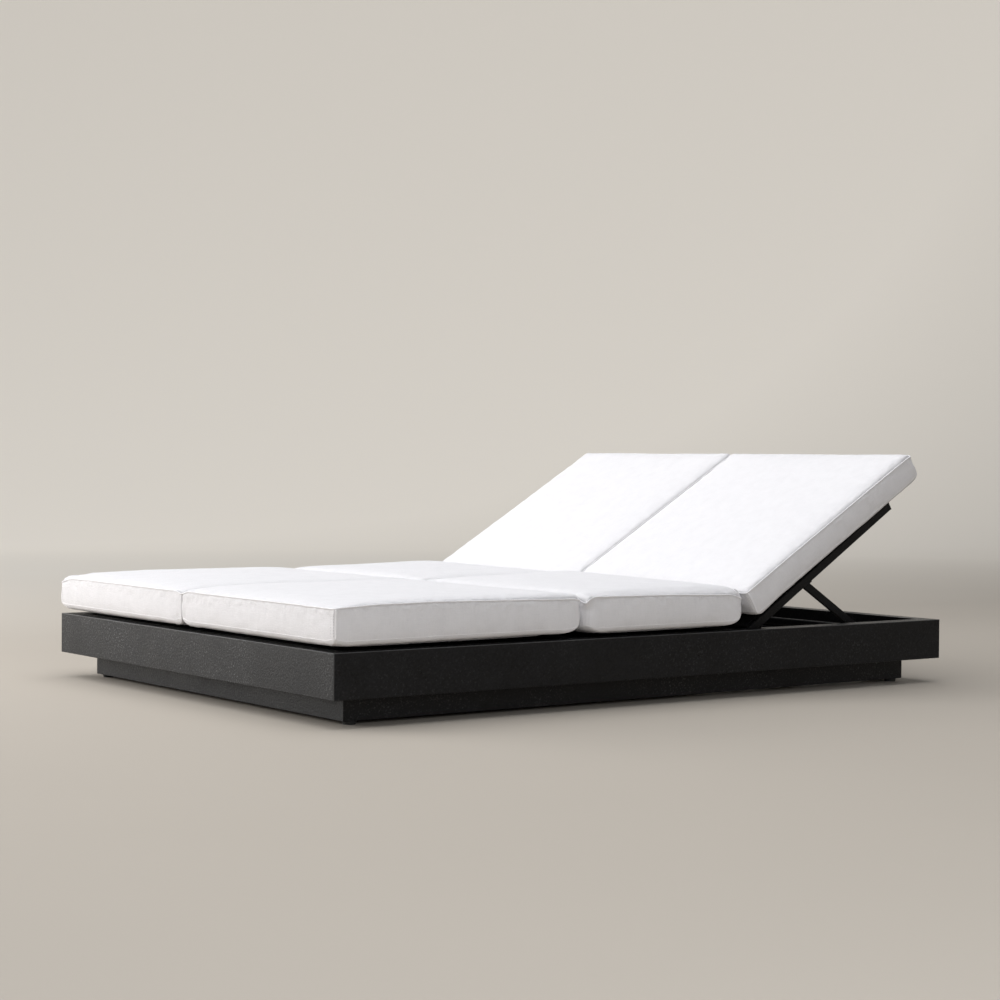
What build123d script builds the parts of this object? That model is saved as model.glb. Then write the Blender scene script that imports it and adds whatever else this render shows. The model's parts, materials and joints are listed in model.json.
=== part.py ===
from build123d import *
import math
import os

# Double chaise lounger: a low platform on a set-in plinth, with two mattresses side by side.
# Each mattress has a foot, a seat and a back cushion. Each back lies on its own slatted frame,
# which tilts about a pivot near the seat and is held by a hinged prop that stands in a notched rack.
# Millimetres. +Z is up, +X runs from the foot end to the head end, -Y is the left side of a person
# who lies on it. The origin is on the floor, under the middle of the platform.
# The backs are drawn at their rest angle.

# Platform frame: four mitred box tubes
frame_length = 2180
frame_width = 1560
rail_depth = 118
rail_width = 50
rail_wall = 3
rail_edge_radius = 2
frame_corner_radius = 3

# Plinth and its glides
plinth_height = 64
plinth_inset = 80
plinth_width = 40
plinth_wall = 2.5
glide_height = 10
glide_radius = 18
glide_taper = 2
glide_set_in = 30

# Cross bearers, which lie on the plinth, and the plates that join their ends to the side rails
bearer_width = 40
bearer_depth = 60
bearer_wall = 2.5
bearer_foot_margin = 190
bearers_under_deck = 4
end_plate_thickness = 8
end_plate_width = 92

# Centre beam, which carries the inner ends of the slats and the inner pivots
beam_width = 40
beam_wall = 3
beam_end_gap = 0.5

# Corner keys inside the mitred rails
key_thickness = 12
key_height = 90
key_leg = 120

# Deck ledges and slats
ledge_width = 30
ledge_wall = 4
slat_height = 12
slat_wall = 2.5
slat_edge = 1
slat_gap = 12
slat_end_gap = 2
deck_slat_count = 14
deck_foot_gap = 4
deck_pivot_gap = 37.5

# Back frames
rest_angle = 32
bar_length = 700
bar_end_clearance = 4.5
bar_tail = 14
bar_size = 25
bar_wall = 2.5
bar_edge = 1.5
back_side_gap = 10
back_slat_count = 7
back_slat_margin = 20
low_rail_place = 52
top_rail_margin = 48
cap_thickness = 2
cap_plug_depth = 12
cap_plug_wall = 2

# Pivots of the back frames
pin_radius = 6
pin_head_radius = 10
pin_head_height = 4
bush_wall = 2
bracket_thickness = 6
bracket_width = 80
bracket_head_radius = 20
bracket_foot_gap = 1

# Props: the legs are as long as their pivots are far from the back's own pivot,
# so their feet travel in a straight line at the height of that pivot
prop_reach_share = 0.4175
prop_leg_depth = 22
prop_leg_thickness = 12
prop_leg_gap = 2
prop_bolt_radius = 5
prop_bolt_head_radius = 9
prop_bolt_head_height = 4
prop_tab_width = 18
prop_tab_depth = 8
prop_tab_thickness = 5
prop_tab_place = 14
foot_bar_radius = 12
foot_bar_wall = 2

# Notched racks
rack_angles = (50, 45, 39, 32, 24, 15)
rack_thickness = 6
rack_gap = 6
rack_flange = 34
rack_notch_drop = 6
rack_ramp_run = 17
rack_end_margin = 33
rack_tip_chamfer = 3

# Stops that the back frames lie on when flat
stop_width = 34
stop_reach = 30
stop_wall = 4
bumper_size = 20
bumper_height = 6

# Cushions
cushion_side_margin = 8
cushion_middle_gap = 2
foot_cushion_length = 768
cushion_break = 19
seat_pivot_gap = 56.5
back_cushion_start = 25
back_cushion_overhang = 105
cushion_draw_in = 5
cushion_corner_radius = 32
cushion_low_margin = 34
cushion_low_height = 17
cushion_welt_inset = 4
crown_margin_share = 0.1
shoulder_margin_share = 0.35
shoulder_rise_share = 0.65
foot_cushion_seam = 111
foot_cushion_crown = 126
seat_cushion_seam = 78
seat_cushion_crown = 120
back_cushion_seam = 99
back_cushion_crown = 116

# Clearances
rest_gap = 0.3
running_gap = 0.4
bore_gap = 0.05
key_gap = 0.3

# Sizes and places that follow from the ones above
half_length = frame_length / 2
half_width = frame_width / 2
rail_bottom = glide_height + plinth_height
rail_top = rail_bottom + rail_depth
inner_x = half_length - rail_width
inner_y = half_width - rail_width
plinth_length = frame_length - 2 * plinth_inset
plinth_breadth = frame_width - 2 * plinth_inset
bearer_top = rail_bottom + bearer_depth
slat_bottom = rail_top - slat_height
beam_depth = slat_bottom - bearer_top
pivot_x = inner_x - bar_end_clearance - cap_thickness - bar_length
pivot_z = slat_bottom - bar_size / 2
deck_low_x = -inner_x + deck_foot_gap
deck_high_x = pivot_x - deck_pivot_gap
back_middle = (inner_y + beam_width / 2) / 2
back_reach = inner_y - back_middle
back_half_width = back_reach - back_side_gap
leg_outer_face = back_half_width - bar_size - prop_leg_gap
leg_inner_face = leg_outer_face - prop_leg_thickness
rack_face = leg_inner_face - rack_gap
rack_tip_z = pivot_z - foot_bar_radius - rest_gap
prop_reach = prop_reach_share * bar_length
foot_cushion_x = -half_length + cushion_side_margin
seat_cushion_x = foot_cushion_x + foot_cushion_length + cushion_break
seat_cushion_length = pivot_x - seat_pivot_gap - seat_cushion_x
back_cushion_length = bar_length + back_cushion_overhang - back_cushion_start


def foot_x(angle):
    """Where the prop's foot stands for a back angle."""
    return pivot_x + 2 * prop_reach * math.cos(math.radians(angle))


rack_low_x = foot_x(max(rack_angles)) - rack_end_margin - bearer_width
rack_high_x = foot_x(0) + rack_end_margin + bearer_width / 2
rack_bearers_x = (rack_low_x + bearer_width / 2, rack_high_x - bearer_width / 2)
deck_bearer_low_x = -half_length + bearer_foot_margin
deck_bearer_pitch = (pivot_x - deck_bearer_low_x) / (bearers_under_deck - 1)
bearers_x = [deck_bearer_low_x + i * deck_bearer_pitch for i in range(bearers_under_deck)]
bearers_x.extend(rack_bearers_x)
back_place = Pos(pivot_x, 0, pivot_z) * Rot(0, -rest_angle, 0)
prop_place = back_place * Pos(prop_reach, 0, 0) * Rot(0, 2 * rest_angle, 0)


def save(name, *solids):
    """Write one node; more than one solid stays a group of separate solids."""
    shape = solids[0] if len(solids) == 1 else Compound(children=list(solids))
    export_step(shape, os.path.join("parts", name + ".step"))


def on_side(side, solids):
    """The right side is drawn; the left is its mirror image."""
    if side == "right":
        return list(solids)
    return [mirror(solid, about=Plane.XZ) for solid in solids]


def across(solid):
    """The same piece at the other edge of a back frame."""
    return mirror(solid, about=Plane(origin=(0, back_middle, 0), z_dir=(0, 1, 0)))


def rod(radius, low, high):
    """Round rod along Y between two places."""
    return Pos(0, (low + high) / 2, 0) * Rot(90, 0, 0) * Cylinder(radius, high - low)


def box_between(low, high):
    """Block between two corners."""
    size = [b - a for a, b in zip(low, high)]
    middle = [(a + b) / 2 for a, b in zip(low, high)]
    return Pos(*middle) * Box(*size)


def tube_along(length, width, depth, wall, outer):
    """Hollow tube along X with the given outer section, centred on X and Y, standing on Z = 0."""
    inner = Rectangle(width - 2 * wall, depth - 2 * wall)
    return extrude(Plane.YZ * Pos(0, depth / 2) * (outer - inner), amount=length / 2, both=True)


def box_tube(length, width, depth, wall):
    """Sharp-edged box tube along X."""
    return tube_along(length, width, depth, wall, Rectangle(width, depth))


def mitred_tube(length, width, depth, wall, corner_radius=0, edge_radius=0):
    """Box tube along X with its outer face on Y = 0 and both ends mitred towards +Y.
    The corner radius rounds the corner that two such tubes make."""
    outer = Rectangle(width, depth)
    if edge_radius > 0:
        outer = fillet(outer.vertices().group_by(Axis.X)[0], edge_radius)
    tube = Pos(0, width / 2, 0) * tube_along(length, width, depth, wall, outer)
    half = length / 2
    corners = ((-half, 0), (half, 0), (half - width, width), (width - half, width))
    plan = Polygon(*corners, align=None)
    if corner_radius > 0:
        plan = plan & Pos(0, half) * RectangleRounded(length, length, corner_radius)
    return tube & extrude(plan, amount=depth)


def side_rail():
    """Right side rail."""
    rail = mitred_tube(
        frame_length, rail_width, rail_depth, rail_wall, frame_corner_radius, rail_edge_radius
    )
    return Pos(0, half_width, rail_bottom) * Rot(0, 0, 180) * rail


def end_rail(sign):
    """Foot rail or head rail."""
    rail = mitred_tube(
        frame_width, rail_width, rail_depth, rail_wall, frame_corner_radius, rail_edge_radius
    )
    return Pos(sign * half_length, 0, rail_bottom) * Rot(0, 0, sign * 90) * rail


def corner_key(x_sign, y_sign):
    """Angle plate inside a mitred corner, against the inner walls."""
    near = rail_width - rail_wall - key_gap
    far = near - key_thickness
    outline = Polygon(
        (far, far), (key_leg, far), (key_leg, near), (near, near), (near, key_leg),
        (far, key_leg), align=None
    )
    z = rail_bottom + (rail_depth - key_height) / 2
    key = Pos(-half_length, -half_width, z) * extrude(outline, amount=key_height)
    if x_sign > 0:
        key = mirror(key, about=Plane.YZ)
    if y_sign > 0:
        key = mirror(key, about=Plane.XZ)
    return key


def plinth_side():
    """Right side of the plinth."""
    tube = mitred_tube(plinth_length, plinth_width, plinth_height, plinth_wall)
    return Pos(0, plinth_breadth / 2, glide_height) * Rot(0, 0, 180) * tube


def plinth_end(sign):
    """Foot or head side of the plinth."""
    tube = mitred_tube(plinth_breadth, plinth_width, plinth_height, plinth_wall)
    return Pos(sign * plinth_length / 2, 0, glide_height) * Rot(0, 0, sign * 90) * tube


def glides():
    """Tapered round feet under the plinth's corners."""
    x = plinth_length / 2 - glide_set_in
    y = plinth_breadth / 2 - plinth_width / 2
    glide = Cone(glide_radius - glide_taper, glide_radius, glide_height)
    places = [(x_sign * x, y_sign * y) for x_sign in (-1, 1) for y_sign in (-1, 1)]
    return [Pos(*place, glide_height / 2) * glide for place in places]


def cross_bearer(x):
    """Box tube between its two end plates."""
    length = 2 * (inner_y - end_plate_thickness)
    tube = box_tube(length, bearer_width, bearer_depth, bearer_wall)
    return Pos(x, 0, rail_bottom) * Rot(0, 0, 90) * tube


def end_plates():
    """Plates between the bearers' ends and the side rails."""
    y = inner_y - end_plate_thickness / 2
    z = rail_bottom + bearer_depth / 2
    plate = Box(end_plate_width, end_plate_thickness, bearer_depth)
    return [Pos(x, sign * y, z) * plate for x in bearers_x for sign in (-1, 1)]


def centre_beam():
    """Box tube along the middle, from the foot rail to the head rail."""
    length = 2 * (inner_x - beam_end_gap)
    return Pos(0, 0, bearer_top) * box_tube(length, beam_width, beam_depth, beam_wall)


def deck_ledge():
    """Angle on the right side rail that carries the outer ends of the deck slats."""
    outline = Polygon(
        (inner_y, slat_bottom), (inner_y - ledge_width, slat_bottom),
        (inner_y - ledge_width, slat_bottom - ledge_wall), (inner_y - ledge_wall, slat_bottom - ledge_wall),
        (inner_y - ledge_wall, slat_bottom - ledge_width), (inner_y, slat_bottom - ledge_width), align=None
    )
    length = deck_high_x - deck_low_x
    return Pos(deck_low_x, 0, 0) * extrude(Plane.YZ * outline, amount=length)


def slat(width, length):
    """Ribbed channel along Y, open below, centred on X and Y, standing on Z = 0."""
    outline = Pos(0, slat_height / 2) * Rectangle(width, slat_height)
    outline = chamfer(outline.vertices().group_by(Axis.Y)[-1], slat_edge)
    pocket_width = (width - 3 * slat_wall) / 2
    pocket_height = slat_height - slat_wall
    for step in (-1, 1):
        x = step * (pocket_width + slat_wall) / 2
        outline -= Pos(x, pocket_height / 2) * Rectangle(pocket_width, pocket_height)
    return extrude(Plane.XZ * outline, amount=length / 2, both=True)


def slat_row(low, high, count, length):
    """Evenly spaced slats along X between two places."""
    width = (high - low - (count - 1) * slat_gap) / count
    pitch = width + slat_gap
    return [Pos(low + width / 2 + i * pitch, 0, 0) * slat(width, length) for i in range(count)]


def deck_slats():
    """Slats of the right side, from the ledge to the middle of the beam."""
    length = inner_y - 2 * slat_end_gap
    row = slat_row(deck_low_x, deck_high_x, deck_slat_count, length)
    return [Pos(0, inner_y / 2, slat_bottom) * piece for piece in row]


def pivot_bracket():
    """Outer pivot bracket of the right side: a plate with a round head about the pin."""
    low = bearer_top + bracket_foot_gap - pivot_z
    half = bracket_width / 2
    shoulder = -bracket_head_radius
    plate = Polygon(
        (-half, low), (half, low), (half, shoulder), (bracket_head_radius, 0), (-bracket_head_radius, 0),
        (-half, shoulder), align=None
    )
    outline = plate + Circle(bracket_head_radius)
    bracket = extrude(Plane.XZ * outline, amount=bracket_thickness)
    bracket = Pos(pivot_x, inner_y, pivot_z) * bracket
    return bracket - Pos(pivot_x, 0, pivot_z) * rod(pin_radius + bore_gap, 0, half_width)


def pivot_pin():
    """Headed pin from inside the outer bar to the back of the outer bracket."""
    seat = back_middle + back_half_width - bar_size - running_gap
    shank = rod(pin_radius, seat, inner_y)
    head = rod(pin_head_radius, seat - pin_head_height, seat)
    return Pos(pivot_x, 0, pivot_z) * (shank + head)


def pivot_bush():
    """Sleeve through the outer bar that also keeps it off the bracket."""
    low = back_middle + back_half_width - bar_size
    high = inner_y - bracket_thickness - running_gap
    return rod(pin_radius + bore_gap + bush_wall, low, high) - rod(pin_radius + bore_gap, low, high)


def back_bar():
    """Outer bar of the right back frame, from its tail past the pivot to its head end."""
    outer = Rectangle(bar_size, bar_size)
    outer = chamfer(outer.vertices(), bar_edge)
    tube = tube_along(bar_length + bar_tail, bar_size, bar_size, bar_wall, outer)
    y = back_middle + back_half_width - bar_size / 2
    bar = Pos((bar_length - bar_tail) / 2, y, -bar_size / 2) * tube
    bar -= rod(pin_radius + 2 * bore_gap + bush_wall, 0, inner_y)
    return bar - Pos(prop_reach, 0, 0) * rod(prop_bolt_radius + bore_gap, 0, y)


def bar_cap(plug_depth):
    """Plug with a square flange, its flange's seat on X = 0 and its plug down -X."""
    inside = bar_size - 2 * bar_wall - 2 * bore_gap
    hollow = inside - 2 * cap_plug_wall
    flange = Pos(cap_thickness / 2, 0, 0) * Box(cap_thickness, bar_size, bar_size)
    plug = Box(plug_depth, inside, inside) - Box(plug_depth, hollow, hollow)
    return flange + Pos(-plug_depth / 2, 0, 0) * plug


def bar_caps():
    """Caps in both ends of the outer bar; the tail's plug stops short of the pivot bush."""
    y = back_middle + back_half_width - bar_size / 2
    tail_depth = bar_tail - pin_radius - bush_wall - 3 * bore_gap
    head = Pos(bar_length, y, 0) * bar_cap(cap_plug_depth)
    tail = Pos(-bar_tail, y, 0) * Rot(0, 0, 180) * bar_cap(tail_depth)
    return [head, tail]


def back_cross_rail(place):
    """Square tube between the bars."""
    length = 2 * (back_half_width - bar_size)
    tube = box_tube(length, bar_size, bar_size, bar_wall)
    return Pos(place, back_middle, -bar_size / 2) * Rot(0, 0, 90) * tube


def back_slats():
    """Slats across the top of the bars."""
    row = slat_row(back_slat_margin, bar_length - back_slat_margin, back_slat_count, 2 * back_half_width)
    return [Pos(0, back_middle, bar_size / 2) * piece for piece in row]


def prop_bolt():
    """Shoulder bolt that hangs the outer prop leg on the inner wall of the outer bar."""
    tip = back_middle + back_half_width - bar_size / 2
    seat = back_middle + leg_inner_face - running_gap
    bolt = rod(prop_bolt_radius, seat, tip) + rod(prop_bolt_head_radius, seat - prop_bolt_head_height, seat)
    return Pos(prop_reach, 0, 0) * bolt


def prop_tab():
    """Tab under the outer bar, beside the head of the prop leg."""
    y = back_middle + back_half_width - bar_size / 2
    x = prop_reach + prop_tab_place
    tab = Box(prop_tab_width, prop_tab_thickness, prop_tab_depth)
    return Pos(x, y, -(bar_size + prop_tab_depth) / 2) * tab


def prop_leg():
    """Outer leg of the right prop: a flat bar with round ends."""
    outline = Pos(prop_reach / 2, 0) * SlotCenterToCenter(prop_reach, prop_leg_depth)
    leg = extrude(Plane.XZ * outline, amount=prop_leg_thickness)
    leg = Pos(0, back_middle + leg_outer_face, 0) * leg
    return leg - rod(prop_bolt_radius + bore_gap, 0, inner_y)


def prop_foot_bar():
    """Round tube between the feet of the legs."""
    low = back_middle - leg_inner_face
    high = back_middle + leg_inner_face
    bar = rod(foot_bar_radius, low, high) - rod(foot_bar_radius - foot_bar_wall, low, high)
    return Pos(prop_reach, 0, 0) * bar


def rack_outline():
    """Side view of a rack: a seat and a ramp for each place where the prop's foot can stand.
    The steep side of a notch is at its head end and takes the prop's thrust."""
    blank = Polygon(
        (rack_low_x, bearer_top), (rack_high_x, bearer_top), (rack_high_x, rack_tip_z),
        (rack_low_x, rack_tip_z), align=None
    )
    blank = chamfer(blank.vertices().group_by(Axis.Y)[-1], rack_tip_chamfer)
    seat_radius = foot_bar_radius + rest_gap
    seat_z = pivot_z - rack_notch_drop
    for angle in rack_angles:
        x = foot_x(angle)
        bottom = seat_z - seat_radius
        blank -= Pos(x, seat_z) * Circle(seat_radius)
        blank -= Polygon((x, bottom), (x, rack_tip_z), (x - rack_ramp_run, rack_tip_z), align=None)
    return blank


def prop_rack():
    """Outer rack of the right side: a notched upstand on a flange that lies on two bearers."""
    y = back_middle + rack_face
    upstand = Pos(0, y, 0) * extrude(Plane.XZ * rack_outline(), amount=rack_thickness)
    low = (rack_low_x, y - rack_flange, bearer_top)
    high = (rack_high_x, y - rack_thickness, bearer_top + rack_thickness)
    return upstand + box_between(low, high)


def stop_bracket():
    """Angle on the head rail under the end of the outer bar."""
    top = pivot_z - bar_size / 2 - rest_gap - bumper_height
    y = back_middle + back_half_width - bar_size / 2
    outline = Polygon(
        (inner_x, top), (inner_x - stop_reach, top), (inner_x - stop_reach, top - stop_wall),
        (inner_x - stop_wall, top - stop_wall), (inner_x - stop_wall, top - stop_reach),
        (inner_x, top - stop_reach), align=None
    )
    return Pos(0, y, 0) * extrude(Plane.XZ * outline, amount=stop_width / 2, both=True)


def stop_bumper():
    """Rubber pad on the stop bracket."""
    top = pivot_z - bar_size / 2 - rest_gap
    x = inner_x - stop_reach / 2
    y = back_middle + back_half_width - bar_size / 2
    return Pos(x, y, top - bumper_height / 2) * Box(bumper_size, bumper_size, bumper_height)


def drawn_outline(half_x, half_y, draw_x, draw_y):
    """Rectangle with round corners, whose sides are drawn in towards their middles."""
    radius = cushion_corner_radius
    bend = radius * math.sqrt(0.5)
    edges = []
    for turn in range(4):
        reach, depth, draw = (half_x, half_y, draw_y) if turn % 2 == 0 else (half_y, half_x, draw_x)
        end = reach - radius
        low = radius - depth
        side = Polyline((-end, -depth), (0, draw - depth), (end, -depth))
        corner = ThreePointArc((end, -depth), (end + bend, low - bend), (reach, low))
        edges += [Rot(0, 0, 90 * turn) * edge for edge in (*side.edges(), corner)]
    return make_face(Wire(edges))


def cushion(length, width, seam, crown):
    """Soft block on Z = 0: drawn-in lower edge, side panel up to the seam, crowned top."""
    crown_margin = length * crown_margin_share
    levels = (
        (0, cushion_low_margin),
        (cushion_low_height, 0),
        (seam, cushion_welt_inset),
        (seam + (crown - seam) * shoulder_rise_share, crown_margin * shoulder_margin_share),
        (crown, crown_margin),
    )
    sections = []
    for height, inset in levels:
        half_x, half_y = length / 2 - inset, width / 2 - inset
        # the drawn-in sides stay parallel from level to level
        share_x = (half_y - cushion_corner_radius) / (width / 2 - cushion_corner_radius)
        share_y = (half_x - cushion_corner_radius) / (length / 2 - cushion_corner_radius)
        outline = drawn_outline(half_x, half_y, cushion_draw_in * share_x, cushion_draw_in * share_y)
        sections.append(Pos(0, 0, height) * outline)
    return loft(sections, ruled=True)


def main():
    os.makedirs("parts", exist_ok=True)

    save("side_rail_right", side_rail())
    save("side_rail_left", *on_side("left", [side_rail()]))
    save("foot_rail", end_rail(-1))
    save("head_rail", end_rail(1))
    save("corner_keys", *[corner_key(x_sign, y_sign) for x_sign in (-1, 1) for y_sign in (-1, 1)])
    save("plinth_side_right", plinth_side())
    save("plinth_side_left", *on_side("left", [plinth_side()]))
    save("plinth_foot_end", plinth_end(-1))
    save("plinth_head_end", plinth_end(1))
    save("glides", *glides())
    for number, x in enumerate(bearers_x, start=1):
        save(f"cross_bearer_{number}", cross_bearer(x))
    save("bearer_end_plates", *end_plates())
    save("centre_beam", centre_beam())

    groups = {
        "pivot_brackets": pivot_bracket(),
        "back_pivot_pins": pivot_pin(),
        "stop_brackets": stop_bracket(),
        "stop_bumpers": stop_bumper(),
    }
    for name, outer in groups.items():
        pair = [outer, across(outer)]
        save(name, *on_side("right", pair), *on_side("left", pair))

    mattress_width = half_width - cushion_side_margin - cushion_middle_gap / 2
    mattress_y = (cushion_middle_gap + mattress_width) / 2
    foot_middle = foot_cushion_x + foot_cushion_length / 2
    seat_middle = seat_cushion_x + seat_cushion_length / 2
    back_along = back_cushion_start + back_cushion_length / 2
    foot = cushion(foot_cushion_length, mattress_width, foot_cushion_seam, foot_cushion_crown)
    seat = cushion(seat_cushion_length, mattress_width, seat_cushion_seam, seat_cushion_crown)
    back = cushion(back_cushion_length, mattress_width, back_cushion_seam, back_cushion_crown)
    foot = Pos(foot_middle, mattress_y, rail_top + rest_gap) * foot
    seat = Pos(seat_middle, mattress_y, rail_top + rest_gap) * seat
    back_bottom = bar_size / 2 + slat_height + rest_gap
    back = back_place * Pos(back_along, mattress_y, back_bottom) * back

    for side in ("left", "right"):
        save(f"deck_ledge_{side}", *on_side(side, [deck_ledge()]))
        save(f"deck_slats_{side}", *on_side(side, deck_slats()))
        save(f"prop_rack_outer_{side}", *on_side(side, [prop_rack()]))
        save(f"prop_rack_inner_{side}", *on_side(side, [across(prop_rack())]))
        save(f"foot_cushion_{side}", *on_side(side, [foot]))
        save(f"seat_cushion_{side}", *on_side(side, [seat]))
        save(f"back_cushion_{side}", *on_side(side, [back]))

        bar = back_bar()
        caps = bar_caps()
        back_pieces = {
            "back_bar_outer": [bar],
            "back_bar_inner": [across(bar)],
            "back_low_rail": [back_cross_rail(low_rail_place)],
            "back_top_rail": [back_cross_rail(bar_length - top_rail_margin)],
            "back_slats": back_slats(),
            "back_bar_caps": caps + [across(cap) for cap in caps],
            "back_pivot_bushes": [pivot_bush(), across(pivot_bush())],
            "prop_pivot_bolts": [prop_bolt(), across(prop_bolt())],
            "prop_tabs": [prop_tab(), across(prop_tab())],
        }
        for name, pieces in back_pieces.items():
            save(f"{name}_{side}", *on_side(side, [back_place * piece for piece in pieces]))

        prop_pieces = {
            "prop_leg_outer": [prop_leg()],
            "prop_leg_inner": [across(prop_leg())],
            "prop_foot_bar": [prop_foot_bar()],
        }
        for name, pieces in prop_pieces.items():
            save(f"{name}_{side}", *on_side(side, [prop_place * piece for piece in pieces]))


main()
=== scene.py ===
"""Looks of the double chaise lounger, laid out as an add-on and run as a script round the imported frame."""
import json
import math

import bpy
import numpy as np
from mathutils import Matrix, Vector, noise


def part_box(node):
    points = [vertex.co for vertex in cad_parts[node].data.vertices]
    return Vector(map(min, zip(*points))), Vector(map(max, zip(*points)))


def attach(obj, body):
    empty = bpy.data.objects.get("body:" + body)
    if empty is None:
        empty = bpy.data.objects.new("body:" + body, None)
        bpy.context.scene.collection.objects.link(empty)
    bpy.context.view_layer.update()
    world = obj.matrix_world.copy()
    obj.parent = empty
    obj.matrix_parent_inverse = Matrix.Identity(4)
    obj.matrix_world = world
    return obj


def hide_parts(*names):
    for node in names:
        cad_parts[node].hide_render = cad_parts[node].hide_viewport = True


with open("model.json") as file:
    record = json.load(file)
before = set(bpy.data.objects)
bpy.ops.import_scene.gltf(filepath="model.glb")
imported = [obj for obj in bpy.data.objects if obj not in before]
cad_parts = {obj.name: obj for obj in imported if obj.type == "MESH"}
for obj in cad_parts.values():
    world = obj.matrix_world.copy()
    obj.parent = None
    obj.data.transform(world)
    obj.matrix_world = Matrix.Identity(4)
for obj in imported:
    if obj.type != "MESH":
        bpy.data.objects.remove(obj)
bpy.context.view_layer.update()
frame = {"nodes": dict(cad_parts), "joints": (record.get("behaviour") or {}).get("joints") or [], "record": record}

bl_info = {
    "name": "Double chaise lounger",
    "version": (1, 0, 0),
    "blender": (4, 5, 0),
    "location": "View3D > Sidebar > Lounger",
    "description": "Cushions, welts, stitching and finishes of a double chaise lounger on its packed frame",
    "category": "Object",
}

SIDES = ("left", "right")
MM = 0.001


# ---------------------------------------------------------------- settings

class LoungerFabric(bpy.types.PropertyGroup):
    """Cover cloth, welts and stitching."""
    colour: bpy.props.FloatVectorProperty(
        name="Cloth colour", description="Colour of the cover cloth", subtype="COLOR", size=3,
        min=0, max=1, default=(0.80, 0.787, 0.803))
    thread_pitch: bpy.props.FloatProperty(
        name="Thread pitch", description="Distance between threads of the weave", unit="LENGTH",
        default=0.0013)
    welt_radius: bpy.props.FloatProperty(
        name="Welt radius", description="Half the thickness of the self welt", unit="LENGTH",
        default=0.0021)
    pucker: bpy.props.FloatProperty(
        name="Pucker", description="Depth of the small gathers along the seams", unit="LENGTH",
        default=0.0016)
    grid_step: bpy.props.FloatProperty(
        name="Grid step", description="Cell of a cushion's mesh before it is subdivided", unit="LENGTH",
        default=0.0125)
    pressure: bpy.props.FloatProperty(
        name="Filling pressure", description="Pressure that blows the covers up as cloth; 0 leaves it out",
        default=2.0)
    fullness: bpy.props.FloatProperty(
        name="Fullness", description="How much larger the cloth is cut than the form", default=0.012)
    puff_cap: bpy.props.FloatProperty(
        name="Puff limit", description="Most that the filling moves a point of the cover", unit="LENGTH",
        default=0.004)
    stitch_pitch: bpy.props.FloatProperty(
        name="Stitch pitch", description="Distance between stitches of the corner seams", unit="LENGTH",
        default=0.007)


class LoungerMetal(bpy.types.PropertyGroup):
    """Powder coat and fasteners."""
    coat_colour: bpy.props.FloatVectorProperty(
        name="Coat colour", description="Charcoal powder coat of the outer frame", subtype="COLOR", size=3,
        min=0, max=1, default=(0.0072, 0.0072, 0.0078))
    coat_roughness: bpy.props.FloatProperty(
        name="Coat roughness", description="Roughness of the powder coat", min=0, max=1, default=0.42)
    grain_scale: bpy.props.FloatProperty(
        name="Grain per metre", description="Fineness of the powder coat's grain", default=420.0)


class LoungerStage(bpy.types.PropertyGroup):
    """Floor, light and camera."""
    floor_colour: bpy.props.FloatVectorProperty(
        name="Floor colour", description="Pale floor and backdrop", subtype="COLOR", size=3,
        min=0, max=1, default=(0.47, 0.425, 0.37))
    wall_colour: bpy.props.FloatVectorProperty(
        name="Wall colour", description="Pale backdrop", subtype="COLOR", size=3,
        min=0, max=1, default=(0.53, 0.50, 0.455))
    lens: bpy.props.FloatProperty(
        name="Lens", description="Focal length in millimetres on a 36 mm sensor", default=76.6)
    camera_place: bpy.props.FloatVectorProperty(
        name="Camera place", description="Where the camera stands", subtype="TRANSLATION", size=3,
        default=(-3.857, -5.212, 0.6756))
    camera_turn: bpy.props.FloatVectorProperty(
        name="Camera turn", description="Heading, downward pitch and roll", subtype="EULER", size=3,
        default=(math.radians(36.42), math.radians(1.115), math.radians(0.486)))
    side_light: bpy.props.FloatProperty(
        name="Side light", description="Power of the large light at the foot and far side", unit="POWER",
        default=236.0)
    top_light: bpy.props.FloatProperty(
        name="Top light", description="Power of the large light above", unit="POWER", default=390.0)
    front_light: bpy.props.FloatProperty(
        name="Front light", description="Power of the fill near the camera", unit="POWER", default=60.0)
    wall_glow: bpy.props.FloatProperty(
        name="Wall glow", description="Own light of the backdrop's wall, which stands for its wall lamps",
        min=0, max=1, default=0.72)


# ---------------------------------------------------------------- nodes of materials

def feed(tree, socket, value):
    """Links another node's output to a socket, or sets a plain value on it."""
    if isinstance(value, bpy.types.NodeSocket):
        tree.links.new(value, socket)
    else:
        socket.default_value = value


def add_node(tree, kind, settings=None, **inputs):
    """A new node with its settings and its inputs, which are named, or n0, n1 and so on by their place."""
    made = tree.nodes.new(kind)
    for key, value in (settings or {}).items():
        setattr(made, key, value)
    for key, value in inputs.items():
        by_place = key[0] == "n" and key[1:].isdigit()
        feed(tree, made.inputs[int(key[1:]) if by_place else key], value)
    return made


def calc(tree, operation, first, second=0.0):
    """The output of one Math node."""
    return add_node(tree, "ShaderNodeMath", {"operation": operation}, n0=first, n1=second).outputs[0]


def product(tree, first, second):
    """One value times another."""
    return calc(tree, "MULTIPLY", first, second)


def weighted(tree, *parts):
    """The sum of (value, share) pairs."""
    made = product(tree, *parts[0])
    for part in parts[1:]:
        made = calc(tree, "ADD", made, product(tree, *part))
    return made


def grain(tree, place, scale, detail=2.0, rough=0.5, stretch=None):
    """The output of a Noise node, with its place stretched along the axes where that is given."""
    if stretch:
        place = add_node(tree, "ShaderNodeMapping", None, Vector=place, Scale=stretch).outputs[0]
    made = add_node(tree, "ShaderNodeTexNoise", None, Vector=place, Scale=scale, Detail=detail, Roughness=rough)
    return made.outputs["Fac"]


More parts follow.
